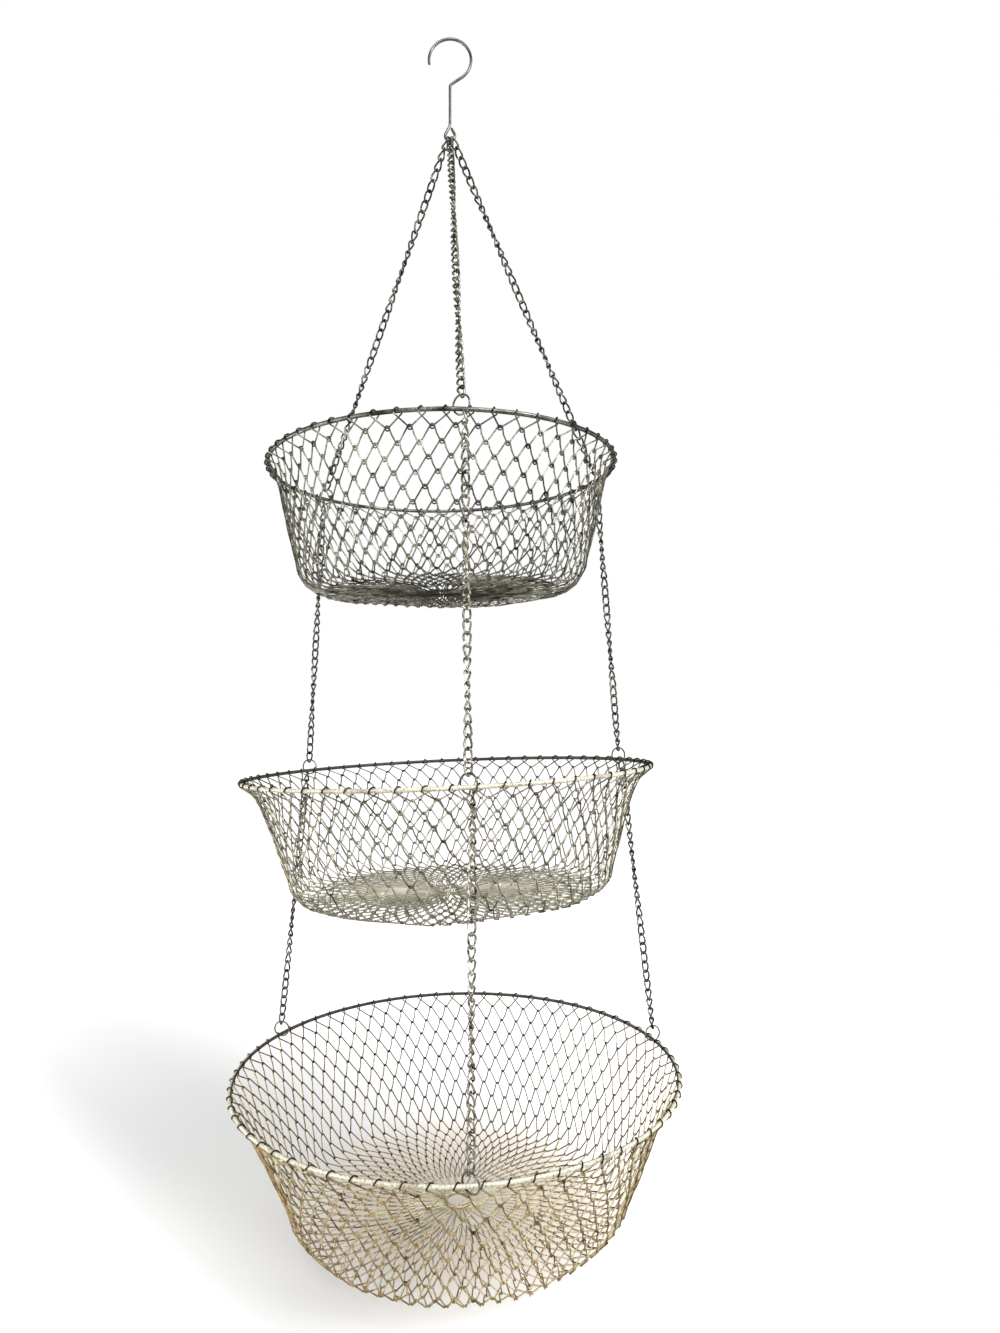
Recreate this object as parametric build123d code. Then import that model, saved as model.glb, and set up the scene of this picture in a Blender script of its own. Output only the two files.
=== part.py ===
from build123d import *
from math import acos, atan2, ceil, cos, degrees, hypot, pi, radians, sin
import os

# Three-tier hanging basket of looped wire, held up by its ceiling hook.
# Millimetres. The origin is the hook's seat: the inside top of the hook, where it rests on what
# carries it. X is to the right, Y is away from the viewer and Z is up.

# Hook, bent from one wire
hook_wire = 2.0
hook_bend_radius = 15.5
hook_tip_angle = 190
hook_kink_below_bend = 2.9
hook_kink_radius = 3.0
eye_drop = 73.0
eye_inside_radius = 2.6
eye_neck_height = 7.6
eye_end_gap = 0.25
eye_link_angle = 34

# Twisted chain, the same stock for every stretch
chain_wire = 1.25
link_pitch = 7.35
link_outside_width = 5.4
link_shoulder = 1.0
link_clearance = 0.15
link_twist = 90

# Small rings that tie the chains to the rims
ring_wire = 1.2
ring_outside = 13.0
ring_rim_angle = 240
ring_lower_link_angle = 294
ring_upper_link_angle = 90
seat_clearance = 0.3
open_pivot_clearance = 0.6

# Wire loops of the baskets
mesh_wire = 1.0
mesh_clearance = 0.3
loop_half_width = 1.3
rim_loop_step_angle = 75
rim_wire = 2.8
centre_ring_radius = 9.5
centre_ring_wire = 1.6

# Where the three chains meet each rim, in degrees round the basket's axis, seen from above
chain_azimuths = {
    "top": {"front": 276.0, "left": 139.7, "right": 19.5},
    "middle": {"front": 275.3, "left": 141.3, "right": 21.5},
    "bottom": {"front": 273.0, "left": 151.5, "right": 15.0},
}
leading_chain = "front"

# How far each small ring is turned out of the plane of the basket's axis
ring_turn_angles = {"front": 48, "left": 24, "right": 0}

# Half turns that each stretch of chain makes on its way down
stretch_half_turns = {"upper": 3, "middle": 3, "lower": 2}

# Sides of the faceted wires, and corners of the round ones
thin_wire_side_count = 3
heavy_wire_side_count = 4
hook_wire_side_count = 6
rim_corner_count = 42
ring_corner_count = 10
centre_ring_corner_count = 14
hook_arc_step_angle = 17

# How finely a ring is fitted round the rim's wire
ring_fit_step_count = 120
fit_share = 0.99


# Baskets. The wall starts at the rim, flares inward by the control points' insets and drops, and
# ends in a rounded corner and a flat base. Each basket hangs a little off the hook's line, by its
# shift in X, with its right side tipped up by its tilt.
top_shift = -6.5
top_tilt_angle = 0.7
top_rim_drop = 316.5
top_rim_radius = 125.0
top_flare_inset = 10.0
top_flare_drop = 6.0
top_waist_inset = 8.0
top_waist_drop = 34.0
top_base_radius = 84.0
top_corner_radius = 22.0
top_depth = 90.0

middle_shift = -3.0
middle_tilt_angle = 2.6
middle_rim_drop = 538.0
middle_rim_radius = 146.5
middle_flare_inset = 14.5
middle_flare_drop = 10.0
middle_waist_inset = 17.5
middle_waist_drop = 40.0
middle_base_radius = 100.5
middle_corner_radius = 17.0
middle_depth = 87.0

bottom_shift = 3.0
bottom_tilt_angle = 1.8
bottom_rim_drop = 754.5
bottom_rim_radius = 160.0
bottom_flare_inset = 14.0
bottom_flare_drop = 16.0
bottom_waist_inset = 23.0
bottom_waist_drop = 48.0
bottom_base_radius = 105.0
bottom_corner_radius = 19.0
bottom_depth = 99.0

# How many loops a row has, and how far the first one stands off the front chain, as a share of
# their pitch, so that the small rings stand between loops
loop_counts = {"top": 16, "middle": 18, "bottom": 20}
first_loop_shares = {"top": 0.34, "middle": 0.63, "bottom": 0.48}

# Where the rows of loops meet, as shares of the wall's curve and of the corner's quarter turn
wall_row_shares = [0.36, 0.70]
corner_row_shares = [0.22, 0.86]


# Derived sizes
hook_radius = hook_wire / 2
chain_radius = chain_wire / 2
ring_radius = ring_wire / 2
mesh_radius = mesh_wire / 2
rim_radius_of_wire = rim_wire / 2
ring_centreline = ring_outside / 2 - ring_radius
link_length = link_pitch + chain_wire + link_clearance
link_half_width = link_outside_width / 2 - chain_radius
eye_centreline = eye_inside_radius + hook_radius
layer_offset = (mesh_wire + mesh_clearance) / 2


class Basket:
    """One tier: its rim, the control points of the wall's curve, the corner, the base and the loops.

    Its pieces are made round the rim's centre and then put in place by its plane.
    """

    def __init__(self, name, place, rim_radius, flare, waist, base_radius, corner, depth):
        shift, tilt, rim_drop = place
        t = radians(tilt)
        self.name = name
        self.plane = Plane((shift, 0, -rim_drop), x_dir=(cos(t), 0, sin(t)), z_dir=(-sin(t), 0, cos(t)))
        self.rim_radius = rim_radius
        self.flare = flare
        self.waist = waist
        self.base_radius = base_radius
        self.corner = corner
        self.depth = depth
        self.loops = loop_counts[name]
        self.first_loop_share = first_loop_shares[name]
        self.azimuths = chain_azimuths[name]


baskets = [
    Basket(
        "top",
        (top_shift, top_tilt_angle, top_rim_drop),
        top_rim_radius,
        (top_rim_radius - top_flare_inset, top_flare_drop),
        (top_rim_radius - top_waist_inset, top_waist_drop),
        top_base_radius,
        top_corner_radius,
        top_depth,
    ),
    Basket(
        "middle",
        (middle_shift, middle_tilt_angle, middle_rim_drop),
        middle_rim_radius,
        (middle_rim_radius - middle_flare_inset, middle_flare_drop),
        (middle_rim_radius - middle_waist_inset, middle_waist_drop),
        middle_base_radius,
        middle_corner_radius,
        middle_depth,
    ),
    Basket(
        "bottom",
        (bottom_shift, bottom_tilt_angle, bottom_rim_drop),
        bottom_rim_radius,
        (bottom_rim_radius - bottom_flare_inset, bottom_flare_drop),
        (bottom_rim_radius - bottom_waist_inset, bottom_waist_drop),
        bottom_base_radius,
        bottom_corner_radius,
        bottom_depth,
    ),
]


def polar(azimuth, radius, height):
    a = radians(azimuth)
    return Vector(radius * cos(a), radius * sin(a), height)


def outward(azimuth):
    return polar(azimuth, 1, 0)


def section(point, tangent, normal, radius, sides):
    """Corners of a wire's section, set square to the tangent."""
    n = (normal - tangent * normal.dot(tangent)).normalized()
    b = tangent.cross(n)
    turns = [2 * pi * k / sides for k in range(sides)]
    return [point + n * (radius * cos(t)) + b * (radius * sin(t)) for t in turns]


def faceted_wire(points, normals, radius, sides, closed=True):
    """A bent wire as a tube of flat facets, from one section at each bend point."""
    count = len(points)
    rings = []
    for i, point in enumerate(points):
        before = points[i - 1] if closed or i > 0 else point
        after = points[(i + 1) % count] if closed or i < count - 1 else point
        arriving = (point - before).normalized() if (point - before).length else Vector(0, 0, 0)
        leaving = (after - point).normalized() if (after - point).length else Vector(0, 0, 0)
        tangent = (arriving + leaving).normalized()
        rings.append(section(point, tangent, normals[i], radius, sides))
    faces = []
    for i in range(count if closed else count - 1):
        here, there = rings[i], rings[(i + 1) % count]
        for k in range(sides):
            j = (k + 1) % sides
            faces.append(Face(Wire.make_polygon([here[k], there[k], there[j]])))
            faces.append(Face(Wire.make_polygon([here[k], there[j], here[j]])))
    if not closed:
        faces.append(Face(Wire.make_polygon(rings[0])))
        faces.append(Face(Wire.make_polygon(rings[-1])))
    solid = Solid(Shell(faces))
    return solid if solid.volume > 0 else Solid(-solid.wrapped)


def round_wire(centre, axis, start, radius, wire, corners, sides):
    """A closed ring of wire round an axis."""
    side = axis.cross(start)
    turns = [2 * pi * k / corners for k in range(corners)]
    points = [centre + start * (radius * cos(t)) + side * (radius * sin(t)) for t in turns]
    return faceted_wire(points, [axis] * corners, wire / 2, sides)


def arc_points(centre, radius, start, end, step):
    """Points of an arc in the X-Z plane, ends included, with angles in degrees."""
    count = max(1, ceil(abs(end - start) / step))
    angles = [radians(start + (end - start) * k / count) for k in range(count + 1)]
    return [centre + Vector(radius * cos(a), 0, radius * sin(a)) for a in angles]


def fillet_points(before, corner, after, radius, step):
    """Points of a rounded corner between two straight runs in the X-Z plane."""
    u = (before - corner).normalized()
    v = (after - corner).normalized()
    half = acos(max(-1, min(1, u.dot(v)))) / 2
    reach = radius * cos(half) / sin(half)
    centre = corner + (u + v).normalized() * (radius / sin(half))
    first = corner + u * reach - centre
    last = corner + v * reach - centre
    a = degrees(atan2(first.Z, first.X))
    b = degrees(atan2(last.Z, last.X))
    b = a + (b - a + 180) % 360 - 180
    return arc_points(centre, radius, a, b, step)


def eye_centre():
    return Vector(0, 0, eye_inside_radius - eye_drop)


def eye_seat(azimuth_name):
    """Wire centre at the eye's bottom where a chain hangs, and the wire's direction there."""
    angle = {"left": -1, "front": 0, "right": 1}[azimuth_name] * radians(eye_link_angle)
    point = eye_centre() + Vector(sin(angle), 0, -cos(angle)) * eye_centreline
    return point, Vector(cos(angle), 0, sin(angle))


def make_hook():
    """Hook, shank and eye: one wire bent in one plane."""
    bend = Vector(0, 0, hook_radius - hook_bend_radius)
    kink = bend - Vector(0, 0, hook_bend_radius + hook_kink_below_bend)
    touch = -90 + degrees(acos(hook_bend_radius / (bend - kink).length))
    hook = arc_points(bend, hook_bend_radius, hook_tip_angle, touch, hook_arc_step_angle)
    neck = eye_centre() + Vector(0, 0, eye_neck_height)
    hook += fillet_points(hook[-1], kink, neck, hook_kink_radius, hook_arc_step_angle * 2)
    side = degrees(acos(eye_centreline / eye_neck_height))
    left = arc_points(eye_centre(), eye_centreline, 90 + side, 90 + side, hook_arc_step_angle)[0]
    hook += fillet_points(kink, neck, left, hook_kink_radius, hook_arc_step_angle)
    hook += arc_points(eye_centre(), eye_centreline, 90 + side, 450 - side, 2 * hook_arc_step_angle)
    half = radians(90 - side)
    short = (hook_wire + eye_end_gap) / sin(2 * half)
    hook.append(neck + (hook[-1] - neck).normalized() * short)
    return faceted_wire(hook, [Vector(0, 1, 0)] * len(hook), hook_radius, hook_wire_side_count, closed=False)


def ring_reach(turn):
    """How far a ring's centre stands off the rim's wire: less where the ring is turned across it."""
    free = ring_radius + rim_radius_of_wire + seat_clearance
    width = ring_centreline * cos(radians(turn))
    a = radians(ring_rim_angle)
    turns = [2 * pi * k / ring_fit_step_count for k in range(ring_fit_step_count)]

    def room(reach):
        rim_x, rim_z = reach * cos(a), reach * sin(a)
        return min(hypot(width * cos(t) - rim_x, ring_centreline * sin(t) - rim_z) for t in turns)

    reach = ring_centreline - free
    while room(reach) < free * fit_share:
        reach *= fit_share
    return reach


def ring_place(basket, side):
    """Centre of a small ring that stands on the rim."""
    reach = ring_reach(ring_turn_angles[side])
    a = radians(ring_rim_angle)
    return polar(basket.azimuths[side], basket.rim_radius - reach * cos(a), -reach * sin(a))


def ring_direction(basket, side, angle):
    """Direction from a ring's centre to a point of its wire."""
    a = radians(angle)
    return outward(basket.azimuths[side] + ring_turn_angles[side]) * cos(a) + Vector(0, 0, sin(a))


def ring_seat(basket, side, angle):
    """Wire centre of a ring where a link hangs on it, and the wire's direction there."""
    point = ring_place(basket, side) + ring_direction(basket, side, angle) * ring_centreline
    along = ring_direction(basket, side, angle + 90)
    placed = basket.plane.from_local_coords(point)
    return placed, basket.plane.from_local_coords(point + along) - placed


def make_ring(basket, side):
    """A small ring, with one of its corners where the lower chain hangs."""
    across = ring_direction(basket, side, 0).cross(Vector(0, 0, 1))
    centre = ring_place(basket, side)
    start = ring_direction(basket, side, ring_lower_link_angle)
    return round_wire(
        centre, across, start, ring_centreline, ring_wire, ring_corner_count, heavy_wire_side_count
    )


def make_link():
    """One link, twisted end to end, standing on Z with its middle at the origin."""
    half = link_length / 2
    outline = [
        (0, half),
        (link_half_width, half - link_shoulder),
        (link_half_width, link_shoulder - half),
        (0, -half),
        (-link_half_width, link_shoulder - half),
        (-link_half_width, half - link_shoulder),
    ]
    points, normals = [], []
    for across, height in outline:
        turn = radians(-link_twist / 2 * height / half)
        points.append(Vector(across * cos(turn), across * sin(turn), height))
        normals.append(Vector(-sin(turn), cos(turn), 0))
    return faceted_wire(points, normals, chain_radius, thin_wire_side_count)


def make_chain(link, upper, lower, half_turns, upper_gap, lower_gap):
    """A straight stretch of links between two seats, each a wire centre and its direction."""
    (top, top_wire), (bottom, bottom_wire) = upper, lower
    down = (bottom - top).normalized()
    first = top - down * (upper_gap / top_wire.cross(down).length)
    last = bottom + down * (lower_gap / bottom_wire.cross(down).length)
    length = (last - first).length
    count = ceil((length - chain_wire - link_clearance) / link_pitch)
    spacing = (length - chain_wire - link_clearance) / count
    e1 = (top_wire - down * top_wire.dot(down)).normalized()
    e2 = (down * -1).cross(e1)
    wanted = degrees(atan2(bottom_wire.dot(e2), bottom_wire.dot(e1)))
    total = (wanted - link_twist) % 180 + 180 * (half_turns - 1)
    links = []
    for i in range(count):
        angle = radians(total * i / (count - 1) + link_twist / 2)
        normal = e1 * cos(angle) + e2 * sin(angle)
        place = first + down * (link_length / 2 + spacing * i)
        links.append(link.moved(Location(Plane(place, x_dir=normal.cross(down * -1), z_dir=down * -1))))
    return Compound(links)


def wall_curve(basket):
    """The wall's curve and the corner's arc, as radius in X and height in Z."""
    foot = (basket.base_radius + basket.corner, basket.depth - basket.corner)
    marks = [(basket.rim_radius, 0), basket.flare, basket.waist, foot]
    wall = Bezier(*[(r, 0, -drop) for r, drop in marks])
    middle = Vector(basket.base_radius, 0, basket.corner - basket.depth)
    return wall, middle


def row_marks(basket):
    """Points of the wall's section where one row of loops hooks into the next, and its outward side."""
    wall, middle = wall_curve(basket)
    marks = []
    for share in wall_row_shares:
        tangent = wall.tangent_at(share)
        marks.append((wall.position_at(share), Vector(-tangent.Z, 0, tangent.X)))
    for share in corner_row_shares:
        a = radians(-90 * share)
        side = Vector(cos(a), 0, sin(a))
        marks.append((middle + side * basket.corner, side))
    return marks


def row_point(basket, azimuth, mark, side, along, layer):
    """A point of the mesh at an azimuth: shifted along the section, and to its outer or inner layer."""
    tangent = Vector(side.Z, 0, -side.X)
    at = mark + tangent * along + side * layer
    return polar(azimuth, at.X, at.Z)


def first_loop(basket):
    """Azimuth of a loop on the rim, clear of the rings."""
    return basket.azimuths[leading_chain] + basket.first_loop_share * 360 / basket.loops


def hook_over_rim(basket, azimuth):
    """Bend points of a loop that goes over the rim's wire from inside to outside."""
    reach = (rim_radius_of_wire + mesh_radius + mesh_clearance / 2) / cos(radians(rim_loop_step_angle / 2))
    width = degrees(loop_half_width / basket.rim_radius)
    points = []
    for step in (-1, 0, 1):
        a = radians(90 - step * rim_loop_step_angle)
        turn = azimuth + step * width
        points.append(polar(turn, basket.rim_radius + reach * cos(a), reach * sin(a)))
    return points


def loop_ends(basket, azimuth, mark, side, along, first_layer):
    """The two bend points of a loop's end, where the wire crosses from one layer to the other."""
    width = degrees(loop_half_width / mark.X)
    return [
        row_point(basket, azimuth - width, mark, side, along, first_layer),
        row_point(basket, azimuth + width, mark, side, along, -first_layer),
    ]


def make_row(basket, index):
    """One closed wire of loops: it goes down outside and up inside, so each row hooks the next."""
    marks = row_marks(basket)
    bite = mesh_wire + mesh_clearance
    pitch = 360 / basket.loops
    start = first_loop(basket) + index * pitch / 2
    points = []
    normals = []
    for k in range(basket.loops):
        azimuth = start + k * pitch
        if index == 0:
            tops = hook_over_rim(basket, azimuth)
        else:
            mark, side = marks[index - 1]
            tops = loop_ends(basket, azimuth, mark, side, -bite / 2, -layer_offset)
        mark, side = marks[index]
        bottoms = loop_ends(basket, azimuth + pitch / 2, mark, side, bite / 2, layer_offset)
        points += tops + bottoms
        normals += [outward(azimuth)] * len(tops)
        normals += [outward(azimuth + pitch / 2)] * len(bottoms)
    if index == len(marks) - 1:
        normals = [Vector(0, 0, 1)] * len(points)
    return faceted_wire(points, normals, mesh_radius, thin_wire_side_count)


def make_base(basket):
    """The flat base: one closed wire of long loops, gathered round the centre ring."""
    mark, side = row_marks(basket)[-1]
    bite = mesh_wire + mesh_clearance
    pitch = 360 / basket.loops
    start = first_loop(basket) + len(row_marks(basket)) * pitch / 2
    height = -basket.depth
    reach = (centre_ring_wire + mesh_wire + mesh_clearance) / 2 / cos(radians(45))
    points = []
    for k in range(basket.loops):
        azimuth = start + k * pitch
        points += loop_ends(basket, azimuth, mark, side, -bite / 2, -layer_offset)
        width = degrees(mesh_radius / centre_ring_radius)
        inner = azimuth + pitch / 2
        points.append(polar(inner - width, centre_ring_radius, height - reach))
        points.append(polar(inner, centre_ring_radius - reach, height))
        points.append(polar(inner + width, centre_ring_radius, height + reach))
    return faceted_wire(points, [Vector(0, 0, 1)] * len(points), mesh_radius, thin_wire_side_count)


def make_rim(basket):
    centre = Vector(0, 0, 0)
    start = outward(basket.azimuths[leading_chain])
    axis = Vector(0, 0, 1)
    return round_wire(
        centre, axis, start, basket.rim_radius, rim_wire, rim_corner_count, heavy_wire_side_count
    )


def make_centre_ring(basket):
    centre = Vector(0, 0, -basket.depth)
    start = Vector(1, 0, 0)
    axis = Vector(0, 0, 1)
    corners = centre_ring_corner_count
    return round_wire(
        centre, axis, start, centre_ring_radius, centre_ring_wire, corners, heavy_wire_side_count
    )


def chain_parts():
    """The nine stretches of chain, by node name."""
    link = make_link()
    on_ring = ring_radius + chain_radius + seat_clearance
    on_eye = hook_radius + chain_radius + seat_clearance
    parts = {}
    top = baskets[0]
    for side in top.azimuths:
        seat = ring_seat(top, side, ring_upper_link_angle)
        turns = stretch_half_turns["upper"]
        parts[f"chain_upper_{side}"] = make_chain(link, eye_seat(side), seat, turns, on_eye, on_ring)
        for name, above, below in zip(("middle", "lower"), baskets, baskets[1:]):
            start = ring_seat(above, side, ring_lower_link_angle)
            seat = ring_seat(below, side, ring_upper_link_angle)
            gap = on_ring if side == leading_chain else on_ring + open_pivot_clearance
            turns = stretch_half_turns[name]
            parts[f"chain_{name}_{side}"] = make_chain(link, start, seat, turns, on_ring, gap)
    return parts


def basket_parts(basket):
    parts = {f"{basket.name}_rim": make_rim(basket)}
    for index in range(len(row_marks(basket))):
        parts[f"{basket.name}_mesh_row_{index + 1}"] = make_row(basket, index)
    parts[f"{basket.name}_mesh_base"] = make_base(basket)
    parts[f"{basket.name}_centre_ring"] = make_centre_ring(basket)
    for side in basket.azimuths:
        parts[f"{basket.name}_ring_{side}"] = make_ring(basket, side)
    return {name: shape.moved(basket.plane.location) for name, shape in parts.items()}


def main():
    parts = {"hook": make_hook()}
    parts.update(chain_parts())
    for basket in baskets:
        parts.update(basket_parts(basket))
    os.makedirs("parts", exist_ok=True)
    for name, shape in parts.items():
        export_step(shape, f"parts/{name}.step")


main()
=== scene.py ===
from math import acos, atan2, ceil, cos, degrees, pi, radians, sin, sqrt

import bpy
import numpy as np
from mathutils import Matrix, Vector


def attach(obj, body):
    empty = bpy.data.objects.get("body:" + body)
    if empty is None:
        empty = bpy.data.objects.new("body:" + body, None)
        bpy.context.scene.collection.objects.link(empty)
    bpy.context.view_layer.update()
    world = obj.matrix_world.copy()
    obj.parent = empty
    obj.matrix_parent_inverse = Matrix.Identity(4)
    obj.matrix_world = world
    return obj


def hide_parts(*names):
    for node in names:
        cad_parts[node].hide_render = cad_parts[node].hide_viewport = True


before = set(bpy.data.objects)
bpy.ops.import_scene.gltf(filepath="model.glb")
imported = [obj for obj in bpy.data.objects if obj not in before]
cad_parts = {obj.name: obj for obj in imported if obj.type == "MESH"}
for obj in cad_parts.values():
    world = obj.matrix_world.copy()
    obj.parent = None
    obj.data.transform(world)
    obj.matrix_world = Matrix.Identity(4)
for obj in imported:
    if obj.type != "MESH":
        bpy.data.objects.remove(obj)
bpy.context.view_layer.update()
scene = bpy.context.scene

# Sizes are in millimetres and degrees, as in the CAD, up to the floor, the lights and the camera.
mm = 0.001

# Hook
hook_wire = 2.0
hook_bend_radius = 15.5
hook_tip_angle = 190
hook_kink_below_bend = 2.9
hook_kink_radius = 3.0
eye_drop = 73.0
eye_inside_radius = 2.6
eye_neck_height = 7.6
eye_end_gap = 0.25
eye_link_angle = 34
hook_point_spacing = 0.7
hook_sides = 14
# Steps in degrees, of the bends and of the small rounded corners and the eye
bend_step, corner_step = 4, 8

# Twisted chain. The links' wire is thicker to the eye than in the CAD, so that links touch.
chain_wire = 1.25
chain_wire_seen = 1.4
link_pitch = 7.35
link_outside_width = 5.4
link_clearance = 0.15
link_twist = 90
# How unevenly the links hang, and how many at each end of a stretch hang more evenly
link_turn_spread = 4
link_shift_spread = 0.05
settled_link_count = 3
chain_seed = 7
# A link's sides, the steps of its round ends and of its straight sides, and how far into its ends
# the twist goes, as a share of their radius
link_sides, link_end_steps, link_side_steps = 8, 8, 4
twisted_end_share = 0.6

# Small rings that tie the chains to the rims
ring_wire = 1.2
ring_outside = 13.0
ring_rim_angle = 240
ring_lower_link_angle = 294
ring_upper_link_angle = 90
seat_clearance = 0.3
open_pivot_clearance = 0.6
ring_fit_step_count = 120
fit_share = 0.99

# Where the three chains meet each rim, in degrees round the basket's axis, seen from above
chain_azimuths = {
    "top": {"front": 276.0, "left": 139.7, "right": 19.5},
    "middle": {"front": 275.3, "left": 141.3, "right": 21.5},
    "bottom": {"front": 273.0, "left": 151.5, "right": 15.0},
}
# How far each small ring is turned out of the plane of the basket's axis
ring_turns = {"front": 48, "left": 24, "right": 0}
leading_chain = "front"
stretch_half_turns = {"upper": 3, "middle": 3, "lower": 2}

# Where each basket hangs: its shift in X, and its tilt
places = {"top": (-6.5, 0.7), "middle": (-3.0, 2.6), "bottom": (3.0, 1.8)}
# Rim drop, rim radius, the two control points of the wall's curve (radius and depth), base radius,
# corner radius, depth, loops in a row, rows on the wall and rows on the base
baskets = {
    "top": (316.5, 125.0, (115.0, 6.0), (117.0, 34.0), 84.0, 22.0, 90.0, 54, 12, 8),
    "middle": (538.0, 146.5, (132.0, 10.0), (129.0, 40.0), 100.5, 17.0, 87.0, 60, 11, 9),
    "bottom": (754.5, 160.0, (146.0, 16.0), (137.0, 48.0), 105.0, 19.0, 99.0, 68, 11, 9),
}
tiers = list(baskets)
rim_wire = 2.8
centre_ring_radius = 9.5
centre_ring_wire = 1.6
# Where the CAD's rows of loops end, as shares of the wall's curve and of the corner's quarter turn
wall_row_shares = [0.36, 0.70]
corner_row_shares = [0.22, 0.86]

# Points along the section of a basket's wall, corner and base
wall_points, corner_points, base_points = 160, 40, 80

# Wire of the loops, the base's as a share of the wall's, and the corners of their sections
mesh_wires = {"top": 1.05, "middle": 1.0, "bottom": 0.98}
base_wire_shares = {"top": 1.1, "middle": 1.25, "bottom": 0.95}
wall_wire_sides, base_wire_sides = 5, 4
# How far the first loop stands from the front ring, as a share of the loops' pitch
first_loop_shares = {"top": 0.39, "middle": 0.4, "bottom": 0.5}
# How far round each row stands from the one above, as a share of the loops' pitch: the strands
# that lean one way are flatter than those that lean the other way
row_skew_share = 0.41
# Radius of the eyelet by which a loop hangs on the row above, and the radius from which it is open
eyelet_radii = {"top": 1.35, "middle": 0.78, "bottom": 0.75}
open_eyelet = 1.0
eyelet_drop_share = 0.55
# Radius of a loop's lower end, where its eyelet is open and where it is not
open_end_radius = 1.45
closed_end_radius = 1.15
# The ends of loops at the corner and on the base, as shares of the loop's width and height
crest_width_share = 0.09
end_width_share = 0.11
end_height_share = 0.3
# Rows count as the corner's from this share of the wall's length
corner_row_start = 0.9
# How far loops of two rows pass one another, and how far they stand off the basket's sheet
loop_overlap = 0.57
lift_share = 0.579
crest_lift_share = 0.9
# How far the sides of a loop bow round the basket and down
side_bow = (0.45, 0.25)
# A loop's turn over the rim: its angles round the rim's wire, width and clearance
rim_turn_angles = (215, -35)
rim_turn_width = 4.6
rim_turn_clearance = 0.1
# Loops gathered round the centre ring: they are longer, and half as many as in the other rows
gathered_length = 22.0
gathered_clearance = 1.5
gathered_turn_angles = (-60, 240)
gathered_width_share = 0.3
# The smooth unevenness of the baskets: its size, how often it waves round, and its shares
unevenness = 0.85
uneven_waves = (2, 3, 5, 8, 13, 21)
uneven_radial, uneven_round, uneven_vertical = 0.55, 0.6, 0.5
# How the waves slant down the basket, and how much more in the round and vertical directions
uneven_slant, round_slant_factor, vertical_slant_factor = 0.05, 1.7, 1.3
uneven_seed = 11
# It starts at the rim and is whole at this depth, and starts and is whole at these radii
uneven_depth = 12.0
still_radius, uneven_radius = 20, 50

# Derived sizes
hook_radius = hook_wire / 2
chain_radius = chain_wire / 2
ring_radius = ring_wire / 2
ring_centreline = ring_outside / 2 - ring_radius
eye_centreline = eye_inside_radius + hook_radius
link_length = link_pitch + chain_wire + link_clearance
link_half_width = link_outside_width / 2 - chain_radius
on_ring = ring_radius + chain_radius + seat_clearance
on_eye = hook_radius + chain_radius + seat_clearance


def vec(*a):
    return np.array(a, float)


def unit(v):
    return v / np.linalg.norm(v)


def polar(azimuth, radius, height):
    a = radians(azimuth)
    return vec(radius * cos(a), radius * sin(a), height)


def placed(basket, points):
    """Points or one point round a basket's rim centre, put where the basket hangs."""
    shift, tilt = places[basket]
    t = radians(tilt)
    points = np.asarray(points, float)
    x, y, z = points[..., 0], points[..., 1], points[..., 2]
    drop = baskets[basket][0]
    return np.stack([shift + x * cos(t) - z * sin(t), y, x * sin(t) + z * cos(t) - drop], -1)


# Wires as meshes: the rounded end of an open wire, as shares of its radius, and a direction along
# which no wire runs, for the first normal of a wire that has none given
dome_height_share, dome_width_share = 0.6, 0.62
any_direction = vec(0.31, 0.52, 0.79)


def frames_along(points, closed, first_normal=None):
    """Normals carried along a path without twisting, with a closed path's mismatch spread out."""
    n = len(points)
    if closed:
        tangents = np.roll(points, -1, 0) - np.roll(points, 1, 0)
    else:
        tangents = np.gradient(points, axis=0)
    tangents /= np.linalg.norm(tangents, axis=1)[:, None]
    start = any_direction if first_normal is None else first_normal
    normal = start - tangents[0] * start.dot(tangents[0])
    normal = unit(normal)
    normals = [normal]
    steps = n if closed else n - 1
    for i in range(steps):
        t = tangents[(i + 1) % n]
        normal = unit(normal - t * normal.dot(t))
        normals.append(normal)
    if closed:
        last = normals.pop()
        t = tangents[0]
        angle = atan2(np.cross(last, normals[0]).dot(t), last.dot(normals[0]))
        turned = []
        for i, nrm in enumerate(normals):
            a = angle * i / n
            b = np.cross(tangents[i], nrm)
            turned.append(nrm * cos(a) + b * sin(a))
        normals = turned
    return tangents, np.array(normals)


def tube(points, radius, sides, closed, first_normal=None):
    """Vertices and faces of a wire of round section along a path."""
    points = np.asarray(points, float)
    n = len(points)
    tangents, normals = frames_along(points, closed, first_normal)
    side = np.cross(tangents, normals)
    a = np.arange(sides) * 2 * pi / sides
    ring = (normals[:, None, :] * np.cos(a)[None, :, None]
            + side[:, None, :] * np.sin(a)[None, :, None])
    verts = (points[:, None, :] + ring * radius).reshape(-1, 3)
    faces = []
    for i in range(n if closed else n - 1):
        p, q = i * sides, ((i + 1) % n) * sides
        for k in range(sides):
            j = (k + 1) % sides
            faces.append((p + k, q + k, q + j, p + j))
    if not closed:
        # a rounded end: a small dome of one more ring and a cap
        for end, sign in ((0, -1), (n - 1, 1)):
            base = len(verts)
            middle = points[end] + tangents[end] * sign * radius * dome_height_share
            verts = np.vstack([verts, middle + ring[end] * radius * dome_width_share])
            for k in range(sides):
                j = (k + 1) % sides
                quad = (end * sides + k, end * sides + j, base + j, base + k)
                faces.append(quad if sign < 0 else quad[::-1])
            cap = tuple(base + k for k in range(sides))
            faces.append(cap if sign < 0 else cap[::-1])
    return verts, faces


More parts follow.
